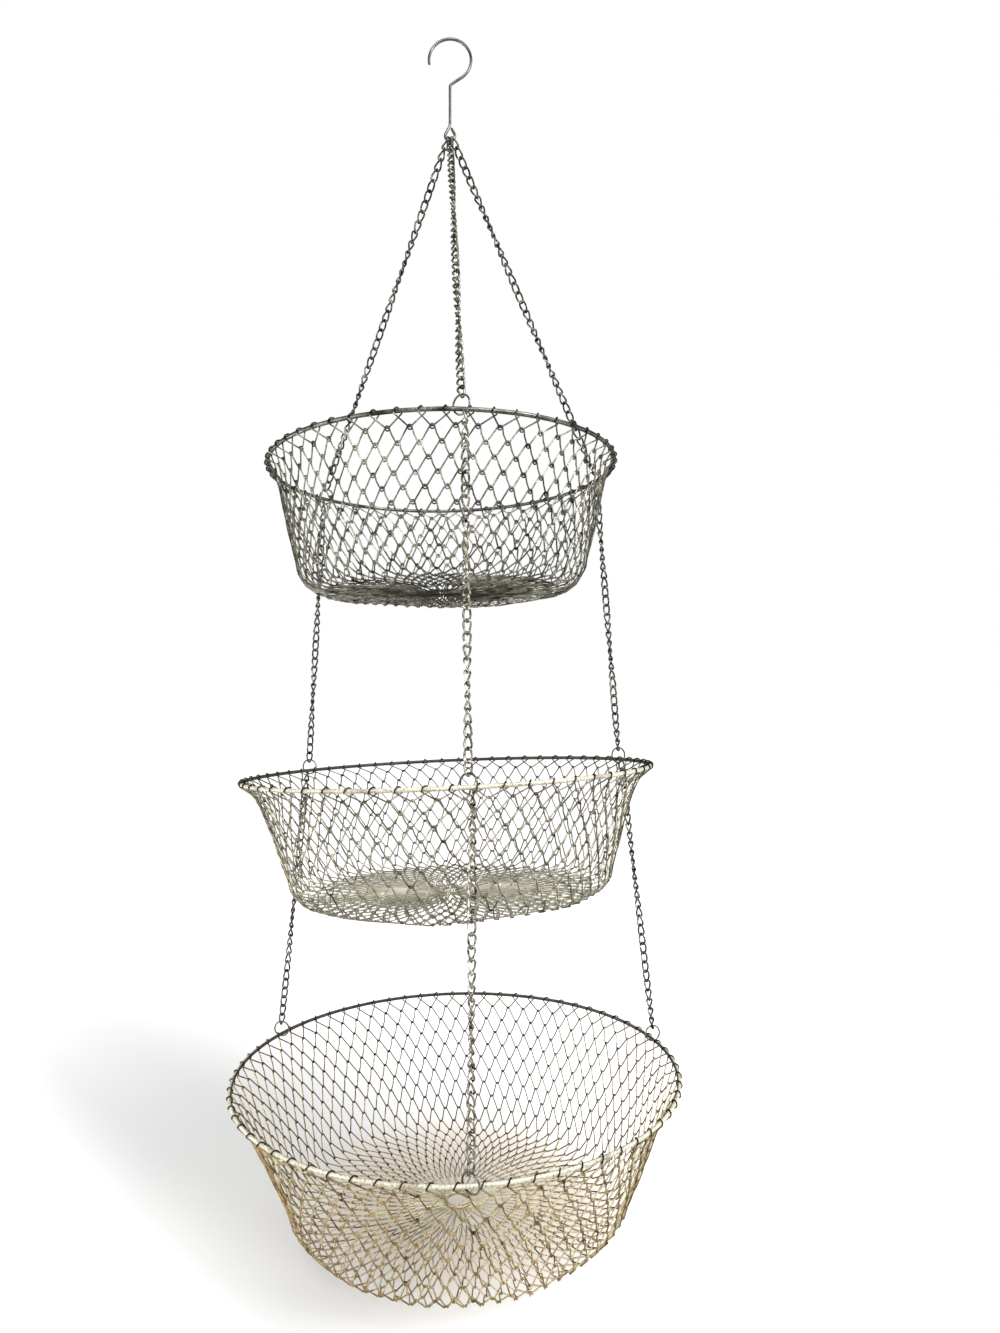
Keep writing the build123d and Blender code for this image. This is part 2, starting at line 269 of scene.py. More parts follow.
def add_mesh(name, parts, material):
    """One object from several (vertices, faces) parts given in millimetres."""
    verts, faces, offset = [], [], 0
    for v, f in parts:
        verts.append(np.asarray(v))
        faces.extend(tuple(i + offset for i in face) for face in f)
        offset += len(v)
    verts = np.vstack(verts) * mm
    mesh = bpy.data.meshes.new(name)
    mesh.from_pydata(verts.tolist(), [], faces)
    mesh.validate()
    mesh.update()
    mesh.materials.append(material)
    obj = bpy.data.objects.new(name, mesh)
    scene.collection.objects.link(obj)
    mesh.shade_smooth()
    return obj


def stand_for(obj, cad_node, body):
    """Let a piece take a CAD node's place and on its body."""
    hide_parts(cad_node)
    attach(obj, body)


# Materials


def node(tree, kind, inputs=None, **settings):
    """A node with its settings and its inputs, which are values or other nodes' outputs."""
    made = tree.nodes.new(kind)
    for key, value in settings.items():
        setattr(made, key, value)
    for key, value in (inputs or {}).items():
        if isinstance(value, bpy.types.NodeSocket):
            tree.links.new(value, made.inputs[key])
        else:
            made.inputs[key].default_value = value
    return made


def empty_tree(owner):
    """The cleared node tree of a material or world."""
    owner.use_nodes = True
    owner.node_tree.nodes.clear()
    return owner.node_tree


def metal(name, bright, mid, dark, roughness, coarse=90.0, bump=0.12, inside=None,
          inner_shade_range=(0.0, -0.6), axis_x=0.0, centre=None, centre_to=None, metallic=1.0, pitted=0.45):
    """Worn plated wire: light and dull patches, dark pits and small scratches in the bump.

    Where inside is given, the side of the wire that faces the basket's axis is darkened to that tint:
    painted shade. Where centre is given, it has that colour round the base's centre ring, out to centre_to.
    Places and distances in it are in metres.
    """
    material = bpy.data.materials.new(name)
    tree = empty_tree(material)
    coords = node(tree, "ShaderNodeTexCoord")
    patches = node(tree, "ShaderNodeTexNoise", {
        "Vector": coords.outputs["Object"], "Scale": coarse, "Detail": 3.0, "Roughness": 0.6})
    ramp = node(tree, "ShaderNodeValToRGB", {"Fac": patches.outputs["Fac"]})
    stops = ramp.color_ramp.elements
    stops[0].position, stops[0].color = 0.32, (*dark, 1)
    stops[1].position, stops[1].color = 0.65, (*bright, 1)
    stops.new(0.47).color = (*mid, 1)
    grime = node(tree, "ShaderNodeTexNoise", {
        "Vector": coords.outputs["Object"], "Scale": 900.0, "Detail": 4.0})
    pits = node(tree, "ShaderNodeMapRange", {
        "Value": grime.outputs["Fac"], "From Min": 0.34, "From Max": 0.52, "To Min": pitted})
    colour = node(tree, "ShaderNodeMix", {
        0: 1.0, 6: ramp.outputs["Color"], 7: pits.outputs["Result"]}, data_type="RGBA", blend_type="MULTIPLY")
    from_axis = node(tree, "ShaderNodeVectorMath", {
        0: coords.outputs["Object"], 1: (1, 1, 0), 2: (-axis_x, 0, 0)}, operation="MULTIPLY_ADD")
    # painted shade: the side of each wire that faces the basket's axis is darkened to the inside tint
    if inside is not None:
        outward = node(tree, "ShaderNodeVectorMath", {0: from_axis.outputs[0]}, operation="NORMALIZE")
        facing = node(tree, "ShaderNodeVectorMath", {
            0: outward.outputs[0], 1: coords.outputs["Normal"]}, operation="DOT_PRODUCT")
        inner = node(tree, "ShaderNodeMapRange", {
            "Value": facing.outputs["Value"], "From Min": inner_shade_range[0], "From Max": inner_shade_range[1]})
        colour = node(tree, "ShaderNodeMix", {
            0: inner.outputs["Result"], 6: colour.outputs[2], 7: (*inside, 1)},
            data_type="RGBA", blend_type="MULTIPLY")
    if centre is not None:
        away = node(tree, "ShaderNodeVectorMath", {0: from_axis.outputs[0]}, operation="LENGTH")
        near = node(tree, "ShaderNodeMapRange", {
            "Value": away.outputs["Value"], "From Min": centre_to, "From Max": 0.012, "To Max": 0.8},
            interpolation_type="SMOOTHSTEP")
        colour = node(tree, "ShaderNodeMix", {
            0: near.outputs["Result"], 6: colour.outputs[2], 7: (*centre, 1)}, data_type="RGBA")
    rough = node(tree, "ShaderNodeMapRange", {
        "Value": patches.outputs["Fac"], "From Min": 0.3, "From Max": 0.7,
        "To Min": roughness + 0.14, "To Max": roughness - 0.08})
    relief = node(tree, "ShaderNodeBump", {
        "Height": grime.outputs["Fac"], "Strength": bump, "Distance": 0.0002})
    shader = node(tree, "ShaderNodeBsdfPrincipled", {
        "Base Color": colour.outputs[2], "Metallic": metallic, "Roughness": rough.outputs["Result"],
        "Normal": relief.outputs["Normal"]})
    node(tree, "ShaderNodeOutputMaterial", {0: shader.outputs[0]})
    return material


# The inside tints of the middle and bottom baskets are painted shade, on the sides of the wires that face the
# axis
top_look = dict(axis_x=-0.0055, centre=(0.055, 0.05, 0.037), centre_to=0.065)
middle_look = dict(inside=(0.4, 0.4, 0.42), axis_x=0.001, centre=(0.72, 0.69, 0.55), centre_to=0.14)
bottom_look = dict(inside=(0.10, 0.10, 0.11), axis_x=0.006, centre=(0.80, 0.76, 0.56), centre_to=0.06)

# Bright, middle and dark tints of each wire, and its roughness
hook_metal = metal("hook_steel", (0.26, 0.255, 0.245), (0.17, 0.167, 0.16), (0.09, 0.086, 0.08), 0.3,
                   bump=0.03, pitted=0.85)
# The chains share one metal: the front chain's lighter copy is painted light, the sides' darker copy painted
# shade
lit_front_chain_metal = metal("chain_front", (0.76, 0.73, 0.62), (0.34, 0.32, 0.26), (0.02, 0.018, 0.014),
                          0.34, coarse=240)
half_lit_upper_chain_metal = metal("chain_upper_front", (0.54, 0.52, 0.44), (0.17, 0.16, 0.13),
                          (0.015, 0.014, 0.011), 0.34, coarse=240)
shaded_side_chain_metal = metal("chain_sides", (0.34, 0.325, 0.27), (0.085, 0.08, 0.066), (0.018, 0.016, 0.013),
                         0.3, coarse=260)
ring_metal = metal("ring_steel", (0.42, 0.40, 0.34), (0.17, 0.16, 0.14), (0.05, 0.046, 0.04), 0.34)
# The middle and bottom rims' inside tint is painted shade, on the side of the rim that faces the basket's
# axis
rim_metal = metal("rim_plate", (0.96, 0.92, 0.75), (0.90, 0.85, 0.67), (0.56, 0.51, 0.37), 0.4, coarse=60,
                  inside=(0.08, 0.08, 0.09), inner_shade_range=(0.05, -0.5), metallic=0.25)
top_rim_metal = metal("rim_top", (0.36, 0.35, 0.30), (0.18, 0.175, 0.15), (0.055, 0.052, 0.043), 0.38,
                      coarse=60)
wrap_metal = metal("rim_wraps", (0.10, 0.09, 0.066), (0.04, 0.035, 0.025), (0.015, 0.013, 0.01), 0.42)
mesh_metals = {
    "top": metal("mesh_top", (0.50, 0.485, 0.40), (0.18, 0.173, 0.138), (0.03, 0.028, 0.022), 0.38,
                 **top_look),
    "middle": metal("mesh_middle", (0.66, 0.62, 0.48), (0.32, 0.298, 0.222), (0.05, 0.045, 0.032), 0.38,
                    **middle_look),
    "bottom": metal("mesh_bottom", (0.92, 0.72, 0.40), (0.56, 0.40, 0.185), (0.09, 0.06, 0.025), 0.38,
                    **bottom_look),
}
# Lighter copies of the loop metals for the strands that lean the flatter way: a painted highlight, as light
# would catch that one family of strands
highlit_strand_metals = {
    "top": metal("strands_top", (0.68, 0.66, 0.56), (0.30, 0.29, 0.235), (0.05, 0.046, 0.036), 0.38,
                 **top_look),
    "middle": metal("strands_middle", (0.95, 0.92, 0.76), (0.58, 0.545, 0.42), (0.10, 0.092, 0.066), 0.42,
                    metallic=0.7, **middle_look),
    "bottom": metal("strands_bottom", (1.0, 0.92, 0.66), (0.93, 0.78, 0.46), (0.36, 0.26, 0.12), 0.42,
                    metallic=0.6, **bottom_look),
}


# Hook


def arc_points(centre, radius, start, end, step):
    """Points along an arc in the hook's plane."""
    count = max(1, ceil(abs(end - start) / step))
    turns = [radians(start + (end - start) * k / count) for k in range(count + 1)]
    return [centre + vec(radius * cos(a), 0, radius * sin(a)) for a in turns]


def fillet_points(before, corner, after, radius, step):
    """Points round a corner that is rounded with a radius."""
    u, v = unit(before - corner), unit(after - corner)
    half = acos(max(-1, min(1, u.dot(v)))) / 2
    reach = radius * cos(half) / sin(half)
    centre = corner + unit(u + v) * (radius / sin(half))
    first, last = corner + u * reach - centre, corner + v * reach - centre
    a, b = degrees(atan2(first[2], first[0])), degrees(atan2(last[2], last[0]))
    b = a + (b - a + 180) % 360 - 180
    return arc_points(centre, radius, a, b, step)


eye_centre = vec(0, 0, eye_inside_radius - eye_drop)


def eye_seat(side):
    """Where a chain hangs in the hook's eye, and the way of the eye's wire there."""
    angle = {"left": -1, "front": 0, "right": 1}[side] * radians(eye_link_angle)
    point = eye_centre + vec(sin(angle), 0, -cos(angle)) * eye_centreline
    return point, vec(cos(angle), 0, sin(angle))


def hook_path():
    """Centre line of the hook, from its tip by the bend, the kink and the shank round the eye."""
    bend = vec(0, 0, hook_radius - hook_bend_radius)
    kink = bend - vec(0, 0, hook_bend_radius + hook_kink_below_bend)
    touch = -90 + degrees(acos(hook_bend_radius / np.linalg.norm(bend - kink)))
    path = arc_points(bend, hook_bend_radius, hook_tip_angle, touch, bend_step)
    neck = eye_centre + vec(0, 0, eye_neck_height)
    path += fillet_points(path[-1], kink, neck, hook_kink_radius, corner_step)
    side = degrees(acos(eye_centreline / eye_neck_height))
    round_eye = arc_points(eye_centre, eye_centreline, 90 + side, 450 - side, corner_step)
    path += fillet_points(kink, neck, round_eye[0], hook_kink_radius, corner_step)
    path += round_eye
    half = radians(90 - side)
    short = (hook_wire + eye_end_gap) / sin(2 * half)
    path.append(neck + unit(path[-1] - neck) * short)
    return path


def evened(path, spacing):
    """The same path with points about evenly spaced, so that facets stay small."""
    path = np.array(path)
    seg = np.linalg.norm(np.diff(path, axis=0), axis=1)
    keep = np.concatenate([[True], seg > 1e-6])
    path = path[keep]
    s = np.concatenate([[0], np.cumsum(np.linalg.norm(np.diff(path, axis=0), axis=1))])
    at = np.linspace(0, s[-1], max(2, int(round(s[-1] / spacing)) + 1))
    return np.stack([np.interp(at, s, path[:, i]) for i in range(3)], 1)


hook_line = evened(hook_path(), hook_point_spacing)
hook_tube = tube(hook_line, hook_radius, hook_sides, False, vec(0, 1, 0))
stand_for(add_mesh("hook_wire", [hook_tube], hook_metal), "hook", "hook")


# Chains and small rings


def ring_reach(turn):
    """How far a ring's centre stands off the rim's wire: less where the ring is turned across it."""
    free = ring_radius + rim_wire / 2 + seat_clearance
    t = np.arange(ring_fit_step_count) * 2 * pi / ring_fit_step_count
    a = radians(ring_rim_angle)
    reach = ring_centreline - free
    while np.min(np.hypot(ring_centreline * cos(radians(turn)) * np.cos(t) - reach * cos(a),
                          ring_centreline * np.sin(t) - reach * sin(a))) < free * fit_share:
        reach *= fit_share
    return reach


def ring_place(basket, side):
    """A small ring's centre, round the rim's centre."""
    reach = ring_reach(ring_turns[side])
    a = radians(ring_rim_angle)
    return polar(chain_azimuths[basket][side], baskets[basket][1] - reach * cos(a), -reach * sin(a))


def ring_direction(basket, side, angle):
    """The way from a small ring's centre to a point of it, by the angle above the level."""
    a = radians(angle)
    return polar(chain_azimuths[basket][side] + ring_turns[side], cos(a), sin(a))


def ring_seat(basket, side, angle):
    """Where a chain hangs in a small ring, and the way of the ring's wire there."""
    point = ring_place(basket, side) + ring_direction(basket, side, angle) * ring_centreline
    along = ring_direction(basket, side, angle + 90)
    return placed(basket, point), placed(basket, point + along) - placed(basket, point)


def link_path():
    """Centre line of a twisted link: an oval whose two ends stand square to each other."""
    half = link_length / 2
    w = link_half_width
    pts = []
    for sign in (1, -1):
        for k in range(link_end_steps + 1):
            a = pi * k / link_end_steps
            pts.append((sign * w * cos(a), sign * (half - w + w * sin(a))))
        for k in range(1, link_side_steps):
            pts.append((-sign * w, sign * (half - w) * (1 - 2 * k / link_side_steps)))
    out = []
    for across, height in pts:
        share = height / (half - w + twisted_end_share * w)
        turn = radians(-link_twist / 2 * max(-1, min(1, share)))
        out.append((across * cos(turn), across * sin(turn), height))
    return np.array(out)


link_verts, link_faces = tube(link_path(), chain_wire_seen / 2, link_sides, True)
rng = np.random.default_rng(chain_seed)


def chain_parts(upper, lower, half_turns, upper_gap, lower_gap):
    """The links of a stretch, turned so that both end links stand square to what they hang on."""
    (top, top_wire), (bottom, bottom_wire) = upper, lower
    down = unit(bottom - top)
    first = top - down * (upper_gap / np.linalg.norm(np.cross(top_wire, down)))
    last = bottom + down * (lower_gap / np.linalg.norm(np.cross(bottom_wire, down)))
    length = np.linalg.norm(last - first)
    count = ceil((length - chain_wire - link_clearance) / link_pitch)
    spacing = (length - chain_wire - link_clearance) / count
    e1 = unit(top_wire - down * top_wire.dot(down))
    e2 = np.cross(-down, e1)
    wanted = degrees(atan2(bottom_wire.dot(e2), bottom_wire.dot(e1)))
    total = (wanted - link_twist) % 180 + 180 * (half_turns - 1)
    parts = []
    for i in range(count):
        loose = min(i, count - 1 - i, settled_link_count) / settled_link_count
        jitter = loose * rng.normal(0, link_turn_spread)
        angle = radians(total * i / (count - 1) + link_twist / 2 + jitter)
        normal = e1 * cos(angle) + e2 * sin(angle)
        x = np.cross(normal, -down)
        y = np.cross(-down, x)
        place = first + down * (link_length / 2 + spacing * i)
        place = place + (x * rng.normal(0, link_shift_spread) + y * rng.normal(0, link_shift_spread)) * loose
        turn = np.stack([x, y, -down], 1)
        parts.append((link_verts @ turn.T + place, link_faces))
    return parts


def torus(centre, axis, start, radius, wire, corners, sides):
    """A closed ring of wire round an axis."""
    side = np.cross(axis, start)
    turns = np.arange(corners) * 2 * pi / corners
    path = centre + radius * (np.cos(turns)[:, None] * start + np.sin(turns)[:, None] * side)
    return tube(path, wire / 2, sides, True, axis)


def place_chain(name, body, parts):
    """A stretch of chain: painted light on the front one, dimmer on its upper stretch, painted shade on the
    sides.
    """
    look = lit_front_chain_metal if name.endswith(leading_chain) else shaded_side_chain_metal
    if name == f"chain_upper_{leading_chain}":
        look = half_lit_upper_chain_metal
    stand_for(add_mesh(name + "_links", parts, look), name, body)


for side in chain_azimuths["top"]:
    seat = ring_seat("top", side, ring_upper_link_angle)
    place_chain(
        f"chain_upper_{side}", "top_basket",
        chain_parts(eye_seat(side), seat, stretch_half_turns["upper"], on_eye, on_ring),
    )
    for word, above, below in zip(("middle", "lower"), tiers, tiers[1:]):
        start = ring_seat(above, side, ring_lower_link_angle)
        seat = ring_seat(below, side, ring_upper_link_angle)
        gap = on_ring if side == leading_chain else on_ring + open_pivot_clearance
        place_chain(
            f"chain_{word}_{side}", f"{word}_chain_{side}",
            chain_parts(start, seat, stretch_half_turns[word], on_ring, gap),
        )

for basket in tiers:
    for side in chain_azimuths[basket]:
        centre = ring_place(basket, side)
        axis = np.cross(ring_direction(basket, side, 0), vec(0, 0, 1))
        verts, faces = torus(centre, axis, vec(0, 0, 1), ring_centreline, ring_wire, corners=40, sides=10)
        obj = add_mesh(f"{basket}_ring_{side}_wire", [(placed(basket, verts), faces)], ring_metal)
        stand_for(obj, f"{basket}_ring_{side}", f"{basket}_basket")


# Baskets


class Profile:
    """A basket's section: radius, height and outward normal by distance from the rim."""

    def __init__(self, basket):
        _, radius, flare, waist, base, corner, depth = baskets[basket][:7]
        marks = [vec(radius, 0), vec(flare[0], -flare[1]), vec(waist[0], -waist[1]),
                 vec(base + corner, corner - depth)]
        self.shares = np.linspace(0, 1, wall_points)
        t = self.shares[:, None]
        wall = ((1 - t) ** 3 * marks[0] + 3 * (1 - t) ** 2 * t * marks[1]
                + 3 * (1 - t) * t ** 2 * marks[2] + t ** 3 * marks[3])
        a = np.linspace(0, -pi / 2, corner_points)[1:]
        arc = np.stack([base + corner * np.cos(a), corner - depth + corner * np.sin(a)], 1)
        flat = np.stack([np.linspace(base, 1.0, base_points)[1:], np.full(base_points - 1, -depth)], 1)
        self.points = np.vstack([wall, arc, flat])
        steps = np.linalg.norm(np.diff(self.points, axis=0), axis=1)
        self.s = np.concatenate([[0], np.cumsum(steps)])
        self.wall_end = self.s[wall_points - 1]
        self.corner_end = self.s[wall_points + corner_points - 2]
        tangent = np.gradient(self.points, self.s, axis=0)
        tangent /= np.linalg.norm(tangent, axis=1)[:, None]
        self.normals = np.stack([-tangent[:, 1], tangent[:, 0]], 1)

    def at(self, s):
        """Radius, height and the two parts of the outward normal at a distance from the rim."""
        return [np.interp(s, self.s, line) for line in (*self.points.T, *self.normals.T)]

    def s_of_wall_share(self, share):
        return float(np.interp(share, self.shares, self.s[:wall_points]))

    def s_of_corner_share(self, share):
        return self.wall_end + (self.corner_end - self.wall_end) * share


def bend(turn_from, turn_to, radius, count, clockwise):
    """Points of a bend in the sheet's plane, by heading, round its centre."""
    out = []
    for h in np.linspace(turn_from, turn_to, count):
        if clockwise:
            out.append((-sin(h) * radius, cos(h) * radius))
        else:
            out.append((sin(h) * radius, -cos(h) * radius))
    return out


def row_period(profile, k, levels, loops, wire, eyelet):
    """One loop of a row, as points over the rim, on the basket's sheet or round the centre ring."""
    pitch = 2 * pi / loops
    skew = row_skew_share * pitch
    s0, s1 = levels[k], levels[k + 1]
    r0, r1 = profile.at(s0)[0], profile.at(s1)[0]
    rise = s1 - s0
    middle_radius = (r0 + r1) / 2
    down_heading = atan2(-rise, middle_radius * skew)
    up_heading = atan2(rise, middle_radius * (pitch - skew))
    # rows at the corner and on the base have rounder ends and no eyelets
    scalloped = s1 > corner_row_start * profile.wall_end
    lift = lift_share * wire
    points = []
    if k == 0:
        # over the rim, from its inside to its outside
        reach = (rim_wire + wire) / 2 + rim_turn_clearance
        for i, angle in enumerate(np.linspace(*rim_turn_angles, 11)):
            a = radians(angle)
            points.append(("rim", (0.5 - i / 10) * rim_turn_width, reach * cos(a), reach * sin(a)))
    elif scalloped:
        crest = min(crest_width_share * r0 * pitch, end_height_share * rise)
        for i, (u, v) in enumerate(bend(up_heading, down_heading, crest, 5, True)):
            height = (i / 2 - 1) * lift * crest_lift_share
            points.append(("sheet", 0.0, u, s0 - loop_overlap + crest - v, height))
    else:
        count = 13 if eyelet > open_eyelet else 9
        for i, (u, v) in enumerate(bend(up_heading, down_heading - 2 * pi, eyelet, count, True)):
            height = (i / (count - 1) * 2 - 1) * lift * crest_lift_share
            points.append(("sheet", 0.0, u, s0 + eyelet_drop_share * eyelet - v, height))
    if k == len(levels) - 2:
        # the end of the base's loops, gathered round the centre ring
        reach = (centre_ring_wire + wire) / 2
        width = gathered_width_share * r1 * pitch
        for i, angle in enumerate(np.linspace(*gathered_turn_angles, 7)):
            a = radians(angle)
            points.append(("centre", skew, (i / 6 - 0.5) * width, reach * cos(a), reach * sin(a)))
        return points
    if scalloped:
        end = min(end_width_share * r1 * pitch, end_height_share * rise)
    else:
        end = open_end_radius if eyelet > open_eyelet else closed_end_radius
    first = len(points)
    curve = bend(down_heading, up_heading, end, 7 if scalloped else 5, False)
    for i, (u, v) in enumerate(curve):
        height = (1 - i / (len(curve) - 1) * 2) * lift
        points.append(("sheet", skew, u, s1 + loop_overlap - end - v, height))
    if k and not scalloped:
        # the sides of a loop bow a little instead of running straight
        _, _, u0, y0, l0 = points[first - 1]
        _, _, u1, y1, l1 = points[first]
        u1 += skew * middle_radius
        u, y = (u0 + u1) / 2 - side_bow[0], (y0 + y1) / 2 + side_bow[1]
        points.insert(first, ("sheet", 0.0, u, y, (l0 + l1) / 2))
    return points


def period_to_space(profile, points, azimuth):
    """A period's points in space, each by its own kind of place."""
    out = []
    for where, *values in points:
        if where == "rim":
            across, dr, dz = values
            radius = profile.points[0, 0]
            a = azimuth + across / radius
            out.append(((radius + dr) * cos(a), (radius + dr) * sin(a), dz))
        elif where == "centre":
            turn, across, dr, dz = values
            a = azimuth + turn + across / centre_ring_radius
            radius = centre_ring_radius - dr
            out.append((radius * cos(a), radius * sin(a), profile.points[-1, 1] + dz))
        else:
            turn, u, s, lift = values
            r, z, nr, nz = profile.at(s)
            a = azimuth + turn + u / r
            out.append(((r + nr * lift) * cos(a), (r + nr * lift) * sin(a), z + nz * lift))
    return np.array(out)


def make_row(profile, k, levels, loops, wire, sides, start, eyelet):
    """All the loops of one row as one closed wire, made by turning one period round the axis.

    Gives the vertices, and the faces in three lists: those of neither kind that follows, those of
    the turns over the rim, and those of the strands that lean the flatter way.
    """
    pitch = 2 * pi / loops
    azimuth = start + k * row_skew_share * pitch
    marks = row_period(profile, k, levels, loops, wire, eyelet)
    period = period_to_space(profile, marks, azimuth)
    m = len(period)

    def turned(v, a):
        c, s = cos(a), sin(a)
        return np.stack([v[..., 0] * c - v[..., 1] * s, v[..., 0] * s + v[..., 1] * c, v[..., 2]], -1)

    around = np.vstack([turned(period[-1:], -pitch), period, turned(period[:1], pitch)])
    tangents = around[2:] - around[:-2]
    tangents /= np.linalg.norm(tangents, axis=1)[:, None]
    normal = vec(cos(azimuth), sin(azimuth), 0)
    normal = unit(normal - tangents[0] * normal.dot(tangents[0]))
    normals = [normal]
    for i in range(1, m + 1):
        t = tangents[i] if i < m else turned(tangents[0], pitch)
        normal = unit(normal - t * normal.dot(t))
        normals.append(normal)
    t = turned(tangents[0], pitch)
    goal = turned(normals[0], pitch)
    miss = atan2(np.cross(normals[m], goal).dot(t), normals[m].dot(goal))
    normals = np.array(normals[:m])
    side = np.cross(tangents, normals)
    a = (miss * np.arange(m) / m)[:, None]
    n2 = normals * np.cos(a) + side * np.sin(a)
    b2 = np.cross(tangents, n2)
    ring_turn = np.arange(sides) * 2 * pi / sides
    ring = (n2[:, None, :] * np.cos(ring_turn)[None, :, None]
            + b2[:, None, :] * np.sin(ring_turn)[None, :, None])
    one = (period[:, None, :] + ring * wire / 2).reshape(-1, 3)
    verts = np.vstack([turned(one, j * pitch) for j in range(loops)])
    total = m * loops
    faces, wraps, leaning = [], [], []
    on_rim = sum(mark[0] == "rim" for mark in marks)
    for i in range(total):
        p, q = i * sides, ((i + 1) % total) * sides
        for c in range(sides):
            d = (c + 1) % sides
            part = wraps if i % m < on_rim - 1 else leaning if i % m == m - 1 else faces
            part.append((p + c, q + c, q + d, p + d))
    return verts, faces, wraps, leaning


def used(verts, faces):
    """The faces with only the vertices that they use."""
    keep = sorted({i for f in faces for i in f})
    place = {old: new for new, old in enumerate(keep)}
    return verts[keep], [tuple(place[i] for i in f) for f in faces]


def wander(verts, seed):
    """The sheet's small unevenness: smooth bulges that carry neighbouring rows along together."""
    r = np.hypot(verts[:, 0], verts[:, 1])
    a = np.arctan2(verts[:, 1], verts[:, 0])
    z = verts[:, 2]
    near_centre = np.clip((r - still_radius) / (uneven_radius - still_radius), 0, 1)
    room = unevenness * np.clip(-z / uneven_depth, 0, 1) * near_centre
    g = np.random.default_rng(seed)
    dr, da, dz = np.zeros(len(r)), np.zeros(len(r)), np.zeros(len(r))
    for wave in uneven_waves:
        for _ in range(2):
            p1, p2, p3 = g.uniform(0, 2 * pi, 3)
            q = g.uniform(-1, 1) * uneven_slant
            f = 1 / sqrt(wave)
            dr += f * np.sin(wave * a + q * (z + r) + p1)
            da += f * np.sin(wave * a + q * (z + r) * round_slant_factor + p2)
            dz += f * np.sin(wave * a + q * (z + r) * vertical_slant_factor + p3)
    rr = r + dr * room * uneven_radial
    aa = a + da * room * uneven_round / np.maximum(r, still_radius)
    return np.stack([rr * np.cos(aa), rr * np.sin(aa), z + dz * room * uneven_vertical], 1)


for index, basket in enumerate(tiers):
    _, rim_radius, _, _, base_radius, _, depth, loops, wall_rows, base_rows = baskets[basket]
    profile = Profile(basket)
    body = f"{basket}_basket"
    inner = base_radius - centre_ring_radius - gathered_clearance
    base_levels = np.append(np.linspace(0, inner - gathered_length, base_rows)[1:], inner)
    wall_levels = np.linspace(0, profile.corner_end, wall_rows + 1)
    levels = np.concatenate([wall_levels, profile.corner_end + base_levels])
    start = radians(chain_azimuths[basket][leading_chain]) + first_loop_shares[basket] * 2 * pi / loops
    # the scene's rows are gathered under the CAD's rows that they stand for
    ends = [profile.s_of_wall_share(x) for x in wall_row_shares]
    ends += [profile.s_of_corner_share(x) for x in corner_row_shares]
    names = [f"{basket}_mesh_row_{i}" for i in (1, 2, 3, 4)] + [f"{basket}_mesh_base"]
    groups = {name: [] for name in names + [name + "_strands" for name in names]}
    for k in range(len(levels) - 1):
        group = names[sum((levels[k] + levels[k + 1]) / 2 > end for end in ends)]
        on_base = k >= wall_rows
        wire = mesh_wires[basket] * (base_wire_shares[basket] if on_base else 1.0)
        count = loops // 2 if k == len(levels) - 2 else loops
        sides = base_wire_sides if on_base else wall_wire_sides
        row = make_row(profile, k, levels, count, wire, sides, start, eyelet_radii[basket])
        verts, faces, wraps, leaning = row
        verts = placed(basket, wander(verts, uneven_seed + index))
        groups[group].append(used(verts, faces))
        groups[group + "_strands"].append(used(verts, leaning))
        if wraps:
            obj = add_mesh(f"{basket}_rim_wraps_wire", [used(verts, wraps)], wrap_metal)
            stand_for(obj, f"{basket}_mesh_row_1", body)
    # the strands that lean the flatter way get the lighter copies: a painted highlight
    for name, parts in groups.items():
        plain = name.removesuffix("_strands")
        obj = add_mesh(name + "_wire", parts, (mesh_metals if plain == name else highlit_strand_metals)[basket])
        stand_for(obj, plain, body)
    up, right = vec(0, 0, 1), vec(1, 0, 0)
    rim = torus(vec(0, 0, 0), up, right, rim_radius, rim_wire, corners=180, sides=12)
    look = top_rim_metal if basket == "top" else rim_metal
    obj = add_mesh(f"{basket}_rim_wire", [(placed(basket, rim[0]), rim[1])], look)
    stand_for(obj, f"{basket}_rim", body)
    ring = torus(vec(0, 0, -depth), up, right, centre_ring_radius, centre_ring_wire, corners=48, sides=8)
    obj = add_mesh(f"{basket}_centre_ring_wire", [(placed(basket, ring[0]), ring[1])], mesh_metals[basket])
    stand_for(obj, f"{basket}_centre_ring", body)


# Floor, in metres from here on. To the camera it is plain white all round, with a painted soft shadow
# behind the basket on the left and a painted warm glow under the basket, standing for light thrown by the
# plating.
floor_height = -0.8705
floor_radius = 12
floor_grey = (0.52, 0.52, 0.52, 1)
darkest_shade = 0.28
# The directions in which the painted shade ends, and the distances along them where it starts to fade and
# where it is gone
shade_edges = (((1, 1), -0.09, -0.28), ((1, 1), -0.04, 0.27), ((1, -1), -0.14, -1.5), ((1, -1), -0.02, 0.18))
painted_bounce_centre = (0.003, 0.032, 0)
painted_bounce_colour = (0.84, 0.725, 0.60, 1)
painted_bounce_radius, painted_bounce_core_radius = 0.16, 0.07

